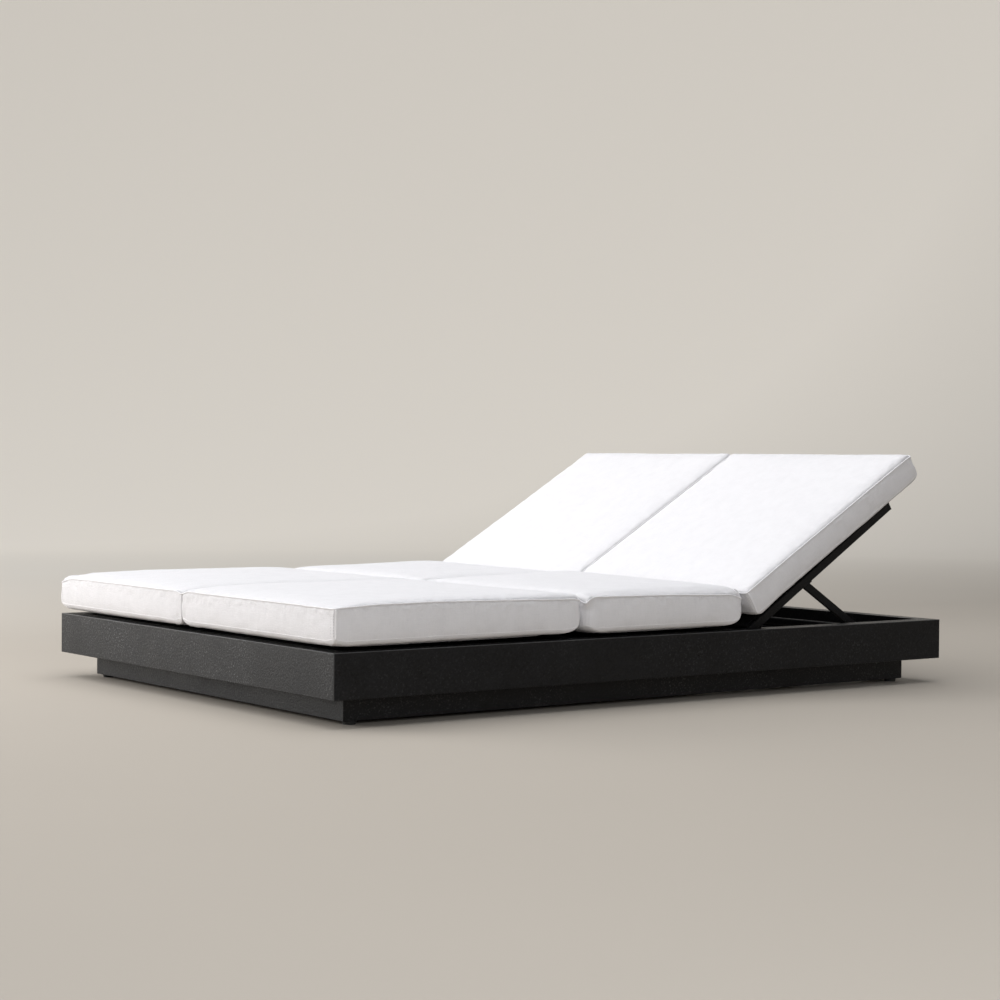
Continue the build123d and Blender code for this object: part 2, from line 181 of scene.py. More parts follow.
def band(tree, value, low, high, out_low=0.0, out_high=1.0):
    """A value spread from one range to another, clamped."""
    made = add_node(tree, "ShaderNodeMapRange", None, n0=value, n1=low, n2=high, n3=out_low, n4=out_high)
    return made.outputs[0]


def tint(tree, amount, dark, light):
    """A colour between two, each a plain colour or a socket, by an amount from 0 to 1."""
    ends = [end if isinstance(end, bpy.types.NodeSocket) else (*end, 1.0) for end in (dark, light)]
    return add_node(tree, "ShaderNodeMix", {"data_type": "RGBA"}, n0=amount, n6=ends[0], n7=ends[1]).outputs[2]


def cloth_place(tree):
    """Coordinates on the laid-out cloth, in metres."""
    return add_node(tree, "ShaderNodeUVMap", {"uv_map": "cloth"}).outputs[0]


def object_place(tree):
    """Coordinates in the row frame, in metres."""
    return add_node(tree, "ShaderNodeTexCoord").outputs["Object"]


def start_material(name):
    """The tree and the Principled shader of a new material."""
    made = bpy.data.materials.new(name)
    made.use_nodes = True
    tree = made.node_tree
    tree.nodes.clear()
    shader = add_node(tree, "ShaderNodeBsdfPrincipled")
    tree.links.new(shader.outputs[0], add_node(tree, "ShaderNodeOutputMaterial").inputs[0])
    return tree, shader


def scaled(colour, factor):
    """A colour made darker or lighter."""
    return tuple(min(1.0, channel * factor) for channel in colour)


def dress(tree, shader, inputs, bumps=()):
    """Feeds a shader's named inputs, and its normal through bumps, each (height, strength, distance)."""
    for name, value in inputs.items():
        feed(tree, shader.inputs[name], value)
    last = None
    for height, strength, distance in bumps:
        bump = add_node(tree, "ShaderNodeBump", None, Height=height, Strength=strength, Distance=distance)
        if last:
            tree.links.new(last, bump.inputs["Normal"])
        last = bump.outputs[0]
    if last:
        tree.links.new(last, shader.inputs["Normal"])


# ---------------------------------------------------------------- finishes

def linen_cover(fabric):
    """White outdoor linen: plain weave with slubs, a faint mottle and fine creases."""
    tree, shader = start_material("linen_cover")
    uv, place = cloth_place(tree), object_place(tree)
    axes = add_node(tree, "ShaderNodeSeparateXYZ", None, n0=uv).outputs
    threads = [calc(tree, "DIVIDE", axes[axis], fabric.thread_pitch) for axis in (0, 1)]
    warp, weft = [calc(tree, "ABSOLUTE", calc(tree, "SINE", product(tree, thread, math.pi))) for thread in threads]
    over = calc(tree, "PINGPONG", calc(tree, "ADD", *[calc(tree, "FLOOR", thread) for thread in threads]), 1.0)
    weave = add_node(tree, "ShaderNodeMix", {"data_type": "FLOAT"}, n0=over, n2=warp, n3=weft).outputs[0]
    slubs = weighted(tree, (grain(tree, uv, 1.0, 3.0, 0.6, (420.0, 38.0, 1.0)), 0.5),
                     (grain(tree, uv, 1.0, 3.0, 0.6, (38.0, 420.0, 1.0)), 0.5))
    mottle = grain(tree, place, 26.0, 4.0, 0.55)
    creases = grain(tree, uv, 1.0, 3.0, 0.55, (14.0, 42.0, 1.0))
    # the side panels hang in faint upright folds, and the cloth is gathered and soiled along the seams
    wall = band(tree, axes[0], WALL_CLOTH - 1.0, WALL_CLOTH - 0.5)
    upright = grain(tree, uv, 1.0, 3.0, 0.6, (85.0, 9.0, 1.0))
    folds = product(tree, calc(tree, "SUBTRACT", upright, 0.5), wall)
    near = add_node(tree, "ShaderNodeAttribute", {"attribute_name": "seam_near"}).outputs["Fac"]
    gathers = product(tree, band(tree, grain(tree, place, 130.0, 2.0, 0.6), 0.42, 0.66), near)
    shade = weighted(tree, (weave, 0.175), (slubs, 0.525), (mottle, 0.3), (folds, 0.1), (gathers, -0.1))
    clean = tint(tree, band(tree, shade, 0.33, 0.62), scaled(fabric.colour, 0.93), scaled(fabric.colour, 1.03))
    # a little dust lies in the groove above the welt
    groove = product(tree, band(tree, near, 0.4, 0.8), calc(tree, "SUBTRACT", 1.0, wall))
    dress(tree, shader, {"Base Color": tint(tree, groove, clean, scaled(fabric.colour, 0.7)),
                         "Roughness": band(tree, slubs, 0.3, 0.7, 0.97, 0.86), "Specular IOR Level": 0.2,
                         "Sheen Weight": 0.12, "Sheen Roughness": 0.5},
          [(creases, 0.22, 0.004), (folds, 0.3, 0.004), (gathers, 0.4, 0.002), (slubs, 0.5, 0.0012),
           (weave, 0.5, 0.0003)])


def linen_welt(fabric):
    """The same linen cut on the bias round the welt's cord, with its threads running slantwise."""
    tree, shader = start_material("linen_welt")
    uv = cloth_place(tree)
    turned = add_node(tree, "ShaderNodeMapping", None, Vector=uv, Rotation=(0, 0, math.pi / 4)).outputs[0]
    slubs = grain(tree, turned, 1.0, 3.0, 0.6, (500.0, 120.0, 1.0))
    gathers = grain(tree, turned, 1.0, 2.0, 0.5, (90.0, 90.0, 1.0))
    colour = tint(tree, band(tree, slubs, 0.3, 0.7), scaled(fabric.colour, 1.0), scaled(fabric.colour, 1.12))
    dress(tree, shader, {"Base Color": colour, "Roughness": 0.88, "Specular IOR Level": 0.2},
          [(gathers, 0.4, 0.0012), (slubs, 0.5, 0.0006)])


def sewing_thread(fabric):
    """Thick polyester thread, slightly darker than the cloth, with its twist."""
    tree, shader = start_material("sewing_thread")
    twist = grain(tree, object_place(tree), 1800.0, 2.0)
    colour = tint(tree, twist, scaled(fabric.colour, 0.58), scaled(fabric.colour, 0.76))
    dress(tree, shader, {"Base Color": colour, "Roughness": 0.6}, [(twist, 0.5, 0.0003)])


# Dust on the powder coat, and the coat where it is rubbed.
COAT_DUST, RUBBED_COAT = (0.19, 0.19, 0.194), (0.13, 0.13, 0.13)
# Distances from an edge at which the rubbing starts and is full.
RUBBED_WIDTH, RUBBED_BARE = 0.0026, 0.0008


def arris(tree, place):
    """How near a point is to the outer frame's top and upright edges, where the coat is thin and rubbed."""
    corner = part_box("side_rail_right")[1]
    axes = add_node(tree, "ShaderNodeSeparateXYZ", None, n0=place).outputs
    values = (calc(tree, "ABSOLUTE", axes[0]), calc(tree, "ABSOLUTE", axes[1]), axes[2])
    along, across, above = [band(tree, value, edge - RUBBED_WIDTH, edge - RUBBED_BARE)
                            for value, edge in zip(values, corner)]
    edges = calc(tree, "MAXIMUM", product(tree, along, above), product(tree, across, above))
    return calc(tree, "MAXIMUM", edges, product(tree, along, across))


def powder_coat(name, metal, lightness, roughness, stain, gloss, worn):
    """Fine-textured powder coat: grain, a faint mottle, dust by the stain amount, and rubbed outer edges."""
    tree, shader = start_material(name)
    place = object_place(tree)
    fine = grain(tree, place, metal.grain_scale, 2.0, 0.6)
    coarse = grain(tree, place, metal.grain_scale * 0.42, 2.0, 0.65)
    fleck = band(tree, grain(tree, place, metal.grain_scale * 0.45, 2.0, 0.6), 0.56, 0.72)
    mottle = grain(tree, place, 9.0, 5.0, 0.65)
    cloud = band(tree, grain(tree, place, 3.1, 4.0, 0.6), 0.38, 0.66, 0.15, 1.0)
    base = scaled(metal.coat_colour, lightness)
    amount = weighted(tree, (mottle, 0.4), (coarse, 0.6))
    colour = tint(tree, band(tree, amount, 0.3, 0.7), scaled(base, 0.6), scaled(base, 2.4))
    dusty = product(tree, product(tree, weighted(tree, (fleck, 1.0), (coarse, 0.06)), cloud), stain)
    colour = tint(tree, dusty, colour, COAT_DUST)
    if worn:
        rubbed = product(tree, arris(tree, place), band(tree, mottle, 0.3, 0.6, 0.4 * worn, worn))
        colour = tint(tree, rubbed, colour, RUBBED_COAT)
    rough = calc(tree, "ADD", band(tree, mottle, 0.3, 0.7, roughness - 0.08, roughness + 0.08),
                 band(tree, coarse, 0.32, 0.68, -0.1, 0.12))
    dress(tree, shader, {"Base Color": colour, "Roughness": rough, "Specular IOR Level": gloss},
          [(mottle, 0.1, 0.002), (coarse, 0.5, 0.0016), (fine, 0.45, 0.0008)])


def brushed_steel():
    """Stainless steel with turned and brushed marks."""
    tree, shader = start_material("brushed_steel")
    brush = grain(tree, object_place(tree), 1.0, 4.0, 0.6, (900.0, 60.0, 900.0))
    dress(tree, shader, {"Base Color": tint(tree, brush, (0.36, 0.36, 0.365), (0.52, 0.52, 0.525)),
                         "Metallic": 1.0, "Roughness": band(tree, brush, 0.3, 0.7, 0.26, 0.42)},
          [(brush, 0.2, 0.0002)])


def moulded(name, dark, light, roughness, grain_scale):
    """Moulded rubber or nylon with a fine pebbled skin."""
    tree, shader = start_material(name)
    place = object_place(tree)
    scuff = grain(tree, place, 30.0, 4.0, 0.6)
    dress(tree, shader, {"Base Color": tint(tree, band(tree, scuff, 0.35, 0.75), dark, light),
                         "Roughness": band(tree, scuff, 0.3, 0.7, roughness - 0.06, roughness + 0.08)},
          [(grain(tree, place, grain_scale, 2.0, 0.5), 0.3, 0.0004)])


# ---------------------------------------------------------------- cushions

# Distances from a seam at which the first lines of the mesh run.
NEAR_SEAM = np.array([0.0, 5.0, 10.0, 16.0, 23.0, 32.0, 43.0]) * MM
# How far both panels are drawn in at the welt.
SEAM_PULL = 0.0018
# Rows of the side panel under the seam: (distance under the seam, how far out from the seam).
UNDER_SEAM = ((0.003, 0.0017), (0.009, 0.0020))
# Rows of the side panel below those, by their share of its height, and rows of its turned lower edge.
WALL_SHARES = (0.84, 0.66, 0.48, 0.30, 0.14, 0.0)
TURN_SHARES = (0.2, 0.4, 0.6, 0.8)
# Where that height ends under the seam, and how far the side panel swells out.
WALL_TOP_DROP, WALL_SWELL = UNDER_SEAM[-1][0] + 0.006, 0.0010
# The ring of the mesh that the lower seam follows.
LOWER_SEAM_RING = len(UNDER_SEAM) + len(WALL_SHARES)
# How round the corners are on the underside, as a share of the side panel's (1), and their least radius.
UNDER_SHARE, LEAST_RADIUS = 1.8, 0.002
# How far the curl of the lower edge reaches from a corner, and the gathers from a seam.
CURL_REACH, SEAM_REACH = 0.022, 0.014
# How full the crown is towards the sides; 1 is a parabola.
CROWN_POWER = 0.6
# Where the underside and the side panels start on the laid-out cloth, clear of the top.
UNDER_CLOTH, WALL_CLOTH = 2.0, 4.0
# Points below this height lie on the slats and are held while the cover is filled, in so many frames.
HELD_HEIGHT, FILLING_FRAMES = 0.012, 20
# Waves of the padding as (waves per metre, height), and gathers at the seams as (waves per metre, share).
PADDING_WAVES = ((5.0, 0.0012), (13.0, 0.0005))
GATHER_WAVES = ((62.0, 1.0), (130.0, 0.6))
# Half a stitch's size across, out from and along its seam, and how far out its middle stands.
STITCH_RADII, STITCH_STAND_OUT = (0.0008, 0.0007, 0.0018), 0.0003
# Where a row of stitches ends before its seam does, and how far ahead its direction is taken from.
STITCH_END_GAP, STITCH_LOOK_AHEAD = 0.003, 0.002
LOWER_SEAM_RADIUS, LOWER_SEAM_SUNK = 0.0011, 0.0003
CORNER_SEAM_RADIUS, CORNER_SEAM_STAND_OUT, CORNER_SEAM_POINTS = 0.0027, 0.0006, 40
# Lines of the mesh beside a corner on which its stitches run.
CORNER_STITCH_LINES = (1, 3)


class Cushion:
    """One cushion's own frame (x along the lounger, y from the near side, z up), its size and its form."""

    def __init__(self, name, origin, along, up, size, form, side, seed):
        foot, head, near, far = [amount * MM for amount in form["grow"][side]]
        self.name, self.form, self.seed, self.side = name, form, seed, side
        self.along, self.up = Vector(along), Vector(up)
        self.origin = Vector(origin) - self.along * foot - Vector((0, near, 0))
        self.length, self.width = size[0] + foot + head, size[1] + near + far

    def matrix(self):
        """From the cushion's own frame to the row frame."""
        turn = Matrix((self.along, Vector((0.0, 1.0, 0.0)), self.up)).transposed().to_4x4()
        return Matrix.Translation(self.origin) @ turn

    def is_near(self, edge):
        """Whether the outer or the middle edge is the one at y = 0."""
        return (edge == "outer") == (self.side == "left")

    def four(self, key):
        """A form's values for its foot end, head end, near side and far side, in metres."""
        sides = ("outer", "middle") if self.is_near("outer") else ("middle", "outer")
        return [np.array(self.form[key][name]) * MM for name in ("foot", "head", *sides)]

    def corner_radius(self, x, y, share):
        """The radius of the nearest upright corner, from its seam (share 0) to its side panel (1)."""
        foot, near = x < self.length / 2, y < self.width / 2
        radius = np.zeros(np.shape(x))
        for (end, edge), (top, wall) in self.form["corners"].items():
            here = (foot == (end == "foot")) & (near == self.is_near(edge))
            radius = np.where(here, (top + (wall - top) * share) * MM, radius)
        return radius

    def along_table(self, key, x):
        """A form's height at a distance from the foot end, in metres."""
        table = self.form[key]
        return np.interp(x, [row[0] * self.length for row in table], [row[1] * MM for row in table])

    def seam_height(self, x, y):
        """The welt's height, with its dips at the corners."""
        height = self.along_table("seam", x)
        for (end, edge, only), (depth, reach_x, reach_y, *power) in self.form["dips"].items():
            if only not in ("both", self.side):
                continue
            from_end = x if end == "foot" else self.length - x
            from_side = y if self.is_near(edge) else self.width - y
            slope_x = np.clip(1 - from_end / reach_x / MM, 0, 1)
            slope_y = np.clip(1 - from_side / reach_y / MM, 0, 1)
            height = height - depth * MM * (slope_x * slope_y) ** (power[0] if power else 1.0)
        return height

    def lift(self, x, y):
        """The height of the lower edge, which curls up a little more at the corners."""
        from_end, from_side = np.minimum(x, self.length - x), np.minimum(y, self.width - y)
        curl = np.exp(-(from_end / CURL_REACH) ** 2 - (from_side / CURL_REACH) ** 2)
        return self.along_table("lift", x) + self.form["curl"] * MM * curl

    def top_height(self, x, y):
        """The height of the padded top, away from its edges."""
        ratio_x = np.clip(2 * x / self.length - 1, -1, 1)
        ratio_y = np.clip(2 * y / self.width - 1, -1, 1)
        crown = self.form["crown"] * MM * ((1 - ratio_x ** 2) * (1 - ratio_y ** 2)) ** CROWN_POWER
        outward = -ratio_y if self.is_near("outer") else ratio_y
        lean = self.form["lean"][self.side] * MM * outward * (x / self.length) ** 2
        return self.along_table("top", x) + crown + lean


def grid_lines(length, step):
    """Lines across a panel: close together near the seams, evenly spaced between."""
    inner = length - 2 * NEAR_SEAM[-1]
    count = max(2, round(inner / step))
    middle = NEAR_SEAM[-1] + inner * np.arange(1, count) / count
    return np.concatenate([NEAR_SEAM, middle, length - NEAR_SEAM[::-1]])


def round_corners(x, y, half_x, half_y, radius):
    """Points on rectangles drawn onto rectangles with round corners, and how far each faces along x."""
    over_x, over_y = np.abs(x) - (half_x - radius), np.abs(y) - (half_y - radius)
    corner = (over_x > 0) & (over_y > 0)
    reach = np.maximum(np.hypot(over_x, over_y), 1e-9)
    factor = np.where(corner, np.maximum(over_x, over_y) / reach, 1.0)
    new_x = np.where(corner, np.sign(x) * (half_x - radius + over_x * factor), x)
    new_y = np.where(corner, np.sign(y) * (half_y - radius + over_y * factor), y)
    facing = np.where(corner, over_x / reach, (over_x > over_y).astype(float))
    return new_x, new_y, facing ** 2


def top_inset(distance, half, edge):
    """How far in a point of the top lies, by its distance along the cloth from the seam."""
    reach, rise = edge
    arc = 0.25 * math.pi * (reach + rise)
    bent = reach * (1 - np.cos(0.5 * math.pi * np.minimum(distance, arc) / arc))
    return SEAM_PULL + bent + np.maximum(distance - arc, 0) * (half - SEAM_PULL - reach) / (half - arc)


def edge_share(distance, edge):
    """From 0 at the seam to 1 where the top's rounded edge ends."""
    arc = 0.25 * math.pi * (edge[0] + edge[1])
    return np.sin(0.5 * math.pi * np.minimum(distance, arc) / arc)


def top_panel(cushion, grid_x, grid_y):
    """Points of the padded top, whose edges round over from the seam."""
    length, width = cushion.length, cushion.width
    edges = cushion.four("edges")
    halves = (length / 2, length / 2, width / 2, width / 2)
    gaps = (grid_x, length - grid_x, grid_y, width - grid_y)
    depth = np.minimum.reduce(gaps)
    insets = [top_inset(gap, half, edge) for gap, half, edge in zip(gaps, halves, edges)]
    rings = [top_inset(depth, half, edge) for half, edge in zip(halves, edges)]
    x = np.where(grid_x < length / 2, insets[0], length - insets[1])
    y = np.where(grid_y < width / 2, insets[2], width - insets[3])
    mid_x, mid_y = (rings[0] + length - rings[1]) / 2, (rings[2] + width - rings[3]) / 2
    half_x, half_y = (length - rings[0] - rings[1]) / 2, (width - rings[2] - rings[3]) / 2
    shrunk = cushion.corner_radius(x, y, 0.0) - 0.8 * (np.mean(rings, axis=0) - SEAM_PULL)
    x, y, _ = round_corners(x - mid_x, y - mid_y, half_x, half_y, np.maximum(shrunk, LEAST_RADIUS))
    x, y = x + mid_x, y + mid_y
    share = np.prod([edge_share(gap, edge) for gap, edge in zip(gaps, edges)], axis=0)
    seam = cushion.seam_height(x, y)
    return np.stack([x, y, seam + (cushion.top_height(x, y) - seam) * share], axis=-1), depth


def wall_rings(cushion, line_x, line_y):
    """Rings of the side panel and of the turned lower edge, from under the seam down."""
    length, width = cushion.length, cushion.width
    feet = cushion.four("feet")

    def ring(insets, share=1.0):
        x0, x1, y0, y1 = insets[0], length - insets[1], insets[2], width - insets[3]
        half_x, half_y = (x1 - x0) / 2, (y1 - y0) / 2
        x, y, facing = round_corners((line_x / length * 2 - 1) * half_x, (line_y / width * 2 - 1) * half_y,
                                     half_x, half_y, cushion.corner_radius(line_x, line_y, share))
        return x + (x0 + x1) / 2, y + (y0 + y1) / 2, facing

    rings = []
    for drop, out in UNDER_SEAM:
        x, y, _ = ring([SEAM_PULL - out] * 4, 0.25 + 30 * drop)
        rings.append((x, y, cushion.seam_height(x, y) - drop))
    turn_end = np.where(line_x < length / 2, feet[0][1], feet[1][1])
    turn_side = np.where(line_y < width / 2, feet[2][1], feet[3][1])
    for share in WALL_SHARES:
        x, y, facing = ring([-WALL_SWELL * math.sin(math.pi * share)] * 4)
        low = cushion.lift(x, y) + turn_end * facing + turn_side * (1 - facing)
        high = cushion.seam_height(x, y) - WALL_TOP_DROP
        rings.append((x, y, low + (high - low) * share))
    for turn in TURN_SHARES:
        angle = 0.5 * math.pi * turn
        x, y, facing = ring([foot[0] * (1 - math.cos(angle)) for foot in feet], 1.0 + (UNDER_SHARE - 1.0) * turn)
        turned = turn_end * facing + turn_side * (1 - facing)
        rings.append((x, y, cushion.lift(x, y) + turned * (1 - math.sin(angle))))
    return [np.stack(one, axis=-1) for one in rings]


def underside(cushion, grid_x, grid_y):
    """Points of the underside, flat in the middle and lifted towards its edges."""
    length, width = cushion.length, cushion.width
    feet = cushion.four("feet")
    x0, x1, y0, y1 = feet[0][0], length - feet[1][0], feet[2][0], width - feet[3][0]
    half_x, half_y = (x1 - x0) / 2, (y1 - y0) / 2
    x, y = (grid_x / length * 2 - 1) * half_x, (grid_y / width * 2 - 1) * half_y
    gap = np.minimum(half_x - np.abs(x), half_y - np.abs(y))
    radius = np.maximum(cushion.corner_radius(grid_x, grid_y, UNDER_SHARE) - gap, LEAST_RADIUS)
    x, y, _ = round_corners(x, y, half_x - gap, half_y - gap, radius)
    rest = (1 - (x / half_x) ** 6) * (1 - (y / half_y) ** 6)
    x, y = x + (x0 + x1) / 2, y + (y0 + y1) / 2
    return np.stack([x, y, cushion.lift(x, y) * (1 - rest)], axis=-1)


def cushion_mesh(cushion, step):
    """Points, faces, cloth coordinates and nearness to the seam of one cushion, its rings and their grid places."""
    line_x, line_y = grid_lines(cushion.length, step), grid_lines(cushion.width, step)
    last_x, last_y = len(line_x) - 1, len(line_y) - 1
    grid_x, grid_y = np.meshgrid(line_x, line_y, indexing="ij")
    loop = [(i, 0) for i in range(last_x)] + [(last_x, j) for j in range(last_y)]
    loop += [(i, last_y) for i in range(last_x, 0, -1)] + [(0, j) for j in range(last_y, 0, -1)]
    loop = np.array(loop)
    ring_x, ring_y = line_x[loop[:, 0]], line_y[loop[:, 1]]
    count = len(loop)
    top, depth = top_panel(cushion, grid_x, grid_y)
    walls = wall_rings(cushion, ring_x, ring_y)
    under = underside(cushion, grid_x, grid_y)
    points = np.concatenate([top.reshape(-1, 3), *walls, under.reshape(-1, 3)])
    index_top = np.arange(depth.size).reshape(depth.shape)
    index_walls = index_top.size + np.arange(len(walls) * count).reshape(len(walls), count)
    index_under = index_walls.max() + 1 + index_top
    faces, cloth = [], []
    for i in range(last_x):
        for j in range(last_y):
            corners = ((i, j), (i + 1, j), (i + 1, j + 1), (i, j + 1))
            faces.append([index_top[c] for c in corners])
            cloth.append([(line_x[a], line_y[b]) for a, b in corners])
            faces.append([index_under[c] for c in reversed(corners)])
            cloth.append([(line_x[a], line_y[b] + UNDER_CLOTH) for a, b in reversed(corners)])
    levels = [index_top[loop[:, 0], loop[:, 1]], *index_walls, index_under[loop[:, 0], loop[:, 1]]]
    apart = np.abs(np.diff(ring_x, append=ring_x[0])) + np.abs(np.diff(ring_y, append=ring_y[0]))
    run = WALL_CLOTH + np.concatenate([[0.0], np.cumsum(apart)])
    heights = [points[level][:, 2].mean() for level in levels]
    for a, b, high, low in zip(levels, levels[1:], heights, heights[1:]):
        for k in range(count):
            n = (k + 1) % count
            faces.append([a[k], b[k], b[n], a[n]])
            cloth.append([(run[k], high), (run[k], low), (run[k + 1], low), (run[k + 1], high)])
    nearness = np.zeros(len(points))
    nearness[index_top.ravel()] = np.exp(-depth.ravel() / SEAM_REACH)
    for row, ring in zip(index_walls, walls):
        drop = np.maximum(cushion.seam_height(ring[:, 0], ring[:, 1]) - ring[:, 2], 0)
        nearness[row] = np.exp(-drop / SEAM_REACH)
    return points, faces, cloth, nearness, levels, loop


def mesh_object(name, points, faces, cloth=None):
    """A linked object from points and faces, smooth, with its cloth coordinates."""
    mesh = bpy.data.meshes.new(name)
    mesh.from_pydata([tuple(p) for p in points], [], [tuple(int(v) for v in f) for f in faces])
    mesh.update()
    if cloth is not None:
        layer = mesh.uv_layers.new(name="cloth")
        flat = np.array([uv for face in cloth for uv in face], dtype=np.float32)
        layer.data.foreach_set("uv", flat.ravel())
    mesh.polygons.foreach_set("use_smooth", [True] * len(mesh.polygons))
    made = bpy.data.objects.new(name, mesh)
    bpy.context.scene.collection.objects.link(made)
    return made


def get_points(obj, what="co"):
    """An object's vertices, or their normals where what is normal, as an array."""
    flat = np.empty(len(obj.data.vertices) * 3)
    obj.data.vertices.foreach_get(what, flat)
    return flat.reshape(-1, 3)


def set_points(obj, points):
    """Writes an array back as an object's vertices."""
    obj.data.vertices.foreach_set("co", np.asarray(points, dtype=np.float64).ravel())
    obj.data.update()


def apply_all(obj):
    """Applies an object's modifiers in their order."""
    bpy.ops.object.select_all(action="DESELECT")
    obj.select_set(True)
    bpy.context.view_layer.objects.active = obj
    for modifier in list(obj.modifiers):
        bpy.ops.object.modifier_apply(modifier=modifier.name)


def seam_weights(obj):
    """Each vertex's nearness to the seam, from the vertex group of that name."""
    group = obj.vertex_groups["seam"].index
    return np.array([next((g.weight for g in v.groups if g.group == group), 0.0) for v in obj.data.vertices])


def inflate(obj, fabric, seam_points):
    """Blows the cover up as cloth with its seam held, and keeps a capped part of the movement."""
    before = get_points(obj)
    low = np.flatnonzero(before[:, 2] < HELD_HEIGHT)
    pins = obj.vertex_groups.new(name="pins")
    pins.add(list(range(len(before))), 0.0, "REPLACE")
    pins.add([*low.tolist(), *seam_points.tolist()], 1.0, "REPLACE")
    cloth = obj.modifiers.new("cloth", "CLOTH")
    settings = {"quality": 4, "mass": 0.25, "tension_stiffness": 12.0, "compression_stiffness": 12.0,
                "shear_stiffness": 6.0, "bending_stiffness": 0.35, "use_pressure": True,
                "uniform_pressure_force": fabric.pressure, "shrink_min": -fabric.fullness,
                "vertex_group_mass": "pins"}
    for key, value in settings.items():
        setattr(cloth.settings, key, value)
    cloth.settings.effector_weights.gravity = 0.0
    cloth.collision_settings.use_collision = False
    cloth.collision_settings.use_self_collision = False
    cloth.point_cache.frame_start, cloth.point_cache.frame_end = 1, FILLING_FRAMES
    for number in range(1, FILLING_FRAMES + 1):
        bpy.context.scene.frame_set(number)
    moved = get_points(obj.evaluated_get(bpy.context.evaluated_depsgraph_get())) - before
    obj.modifiers.remove(cloth)
    obj.vertex_groups.remove(pins)
    bpy.context.scene.frame_set(1)
    size = np.linalg.norm(moved, axis=1)
    set_points(obj, before + moved * (fabric.puff_cap / (fabric.puff_cap + size))[:, None])


def add_softness(obj, seed, pucker):
    """Broad waves of the padding and small gathers along the seams, along the normals."""
    points, normals, near = get_points(obj), get_points(obj, "normal"), seam_weights(obj)
    shift = Vector((seed * 3.7, seed * 1.9, seed * 5.3))
    moves = np.empty(len(points))
    for i, (p, weight) in enumerate(zip(points, near)):
        at = Vector(p)
        move = sum(noise.noise(at * waves + shift) * height for waves, height in PADDING_WAVES)
        if weight > 0.03:
            gather = sum(noise.noise(at * waves + shift) * share for waves, share in GATHER_WAVES) * pucker
            move += gather * (weight * (1.0 - weight) * 3.6 + weight * 0.25)
        moves[i] = move * min(1.0, p[2] / 0.02)
    set_points(obj, points + normals * moves[:, None])


def path_lengths(path):
    """The distance along a path at each of its points."""
    return np.concatenate([[0.0], np.cumsum(np.linalg.norm(np.diff(path, axis=0), axis=1))])


def along_path(values, lengths, distances):
    """Points or normals of a path at given distances along it."""
    return np.stack([np.interp(distances, lengths, values[:, axis]) for axis in range(3)], axis=-1)


def tube_mesh(name, path, radii, closed, sides=8):
    """A tube along points with a radius at each, as a ring or with rounded-off ends."""
    count = len(path)
    if closed:
        ahead = np.roll(path, -1, axis=0) - np.roll(path, 1, axis=0)
    else:
        ahead = np.gradient(path, axis=0)
    ahead = ahead / np.linalg.norm(ahead, axis=1)[:, None]
    up = np.tile(np.array([0.03, 0.02, 1.0]), (count, 1))
    upright = np.abs(ahead[:, 2]) > 0.9
    up[upright] = (0.6, 0.8, 0.0)
    side = np.cross(ahead, up)
    side /= np.linalg.norm(side, axis=1)[:, None]
    up = np.cross(side, ahead)
    lengths = path_lengths(np.vstack([path, path[:1]]))
    points, faces, cloth = [], [], []
    for k in range(count):
        for s in range(sides):
            angle = 2 * math.pi * s / sides
            points.append(path[k] + radii[k] * (math.cos(angle) * side[k] + math.sin(angle) * up[k]))
    girth = 2 * math.pi * float(np.mean(radii))
    for k in range(count if closed else count - 1):
        n = (k + 1) % count
        for s in range(sides):
            t = (s + 1) % sides
            faces.append([k * sides + s, k * sides + t, n * sides + t, n * sides + s])
            low, high = girth * s / sides, girth * (s + 1) / sides
            cloth.append([(lengths[k], low), (lengths[k], high), (lengths[k + 1], high), (lengths[k + 1], low)])
    if not closed:
        for out, k in ((-1, 0), (1, count - 1)):
            tip = len(points)
            points.append(path[k] + out * ahead[k] * radii[k] * 0.6)
            for s in range(sides):
                pair = (k * sides + s, k * sides + (s + 1) % sides)
                faces.append([*pair[::out], tip])
                cloth.append([(lengths[k], girth * s / sides)] * 3)
    return mesh_object(name, points, faces, cloth)


def finish_piece(obj, cushion, body, material, *nodes):
    """Puts a piece into the row frame, gives it its finish and lets it ride."""
    matrix = cushion.matrix()
    set_points(obj, np.array([matrix @ Vector(p) for p in get_points(obj)]))
    obj.data.materials.clear()
    obj.data.materials.append(bpy.data.materials[material])
    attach(obj, body)
    if nodes:
        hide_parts(*nodes)


def doubled(ring):
    """A ring of points with one more between each two."""
    dense = np.empty((len(ring) * 2, 3))
    dense[0::2] = ring
    dense[1::2] = (ring + np.roll(ring, -1, axis=0)) / 2
    return dense


def sew_ring(name, points, normals, radius, stand_out, wobble, seed):
    """A welt or felled seam along a ring of the cover's points, gathered a little along its length."""
    ring = points.copy()
    for _ in range(2):
        ring = (np.roll(ring, 1, axis=0) + 2 * ring + np.roll(ring, -1, axis=0)) / 4
    dense = doubled(doubled(ring + normals * stand_out))
    radii = np.array([radius * (1 + wobble * noise.noise(Vector(p) * 140.0 + Vector((seed, 0, 0)))) for p in dense])
    return tube_mesh(name, dense, radii, True)


